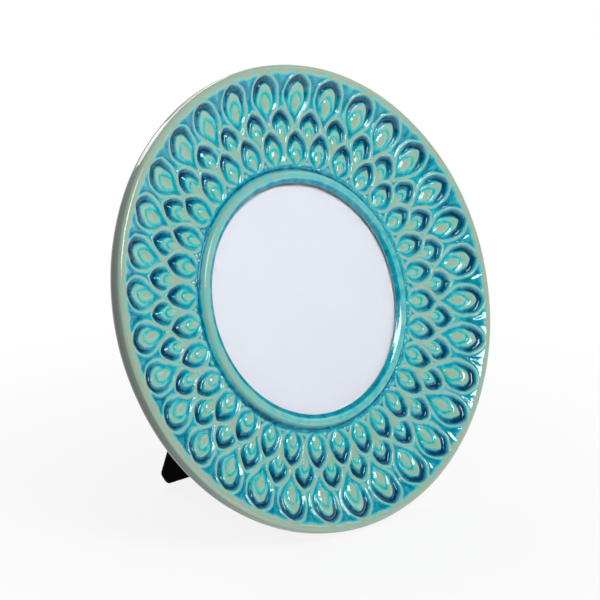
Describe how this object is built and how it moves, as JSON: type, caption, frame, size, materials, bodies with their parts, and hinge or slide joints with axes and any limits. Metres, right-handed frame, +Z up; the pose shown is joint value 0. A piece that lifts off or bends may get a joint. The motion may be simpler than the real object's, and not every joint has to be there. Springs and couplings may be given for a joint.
{
  "type": "round photo frame",
  "caption": "Round ceramic photo frame with carved petal relief under crackle glaze, glazed round opening and folding velvet easel leg.",
  "frame": {"origin": "on the floor under the middle of the frame's bounding box, standing on its easel leg", "axes": "+Z up; +X to the right seen from the front; the front faces -Y and leans back, the leg stands behind on +Y"},
  "size_m": [0.2032, 0.102, 0.1911],
  "materials": {
    "glazed_relief": "glossy crackle glaze, turquoise in the hollows and pale sage on the ridges",
    "painted_board": "fibreboard with matt black paint",
    "clear_glass": "clear float glass",
    "blank_print": "plain white card",
    "grey_card": "grey packing card",
    "hardboard": "brown hardboard",
    "black_velvet": "short black velvet",
    "black_ribbon": "woven black ribbon",
    "plated_steel": "nickel plated",
    "staple_wire": "bright wire"
  },
  "bodies": {
    "frame": {"ceramic_frame": "glazed_relief", "mount_ring": "painted_board", "glass_pane": "clear_glass", "photo_card": "blank_print", "spacer_card": "grey_card", "backing_board": "hardboard", "backing_cloth": "black_velvet", "button_washers": "plated_steel", "button_screws": "plated_steel", "board_leaf": "plated_steel", "hinge_pin": "plated_steel", "board_rivets": "plated_steel", "stay_ribbon": "black_ribbon", "board_staple": "staple_wire"},
    "leg": {"leg_board": "hardboard", "leg_cloth": "black_velvet", "leg_leaf": "plated_steel", "leg_rivets": "plated_steel", "leg_staple": "staple_wire"},
    "button_1": {"turn_button_1": "plated_steel"},
    "button_2": {"turn_button_2": "plated_steel"},
    "button_3": {"turn_button_3": "plated_steel"},
    "button_4": {"turn_button_4": "plated_steel"}
  },
  "joints": [
    {"name": "leg_fold", "type": "hinge", "parent": "frame", "child": "leg", "pos_m": [0, 0.01472, 0.12537], "axis": [-1, 0, 0], "range_deg": [0, 36.7], "deforming": ["stay_ribbon"]},
    {"name": "button_turn_1", "type": "hinge", "parent": "frame", "child": "button_1", "pos_m": [0.04632, 0.01431, 0.13518], "axis": [0, 0.9333, -0.3592], "continuous": true},
    {"name": "button_turn_2", "type": "hinge", "parent": "frame", "child": "button_2", "pos_m": [-0.04632, 0.01431, 0.13518], "axis": [0, 0.9333, -0.3592], "continuous": true},
    {"name": "button_turn_3", "type": "hinge", "parent": "frame", "child": "button_3", "pos_m": [-0.04632, -0.01896, 0.04873], "axis": [0, 0.9333, -0.3592], "continuous": true},
    {"name": "button_turn_4", "type": "hinge", "parent": "frame", "child": "button_4", "pos_m": [0.04632, -0.01896, 0.04873], "axis": [0, 0.9333, -0.3592], "continuous": true}
  ]
}
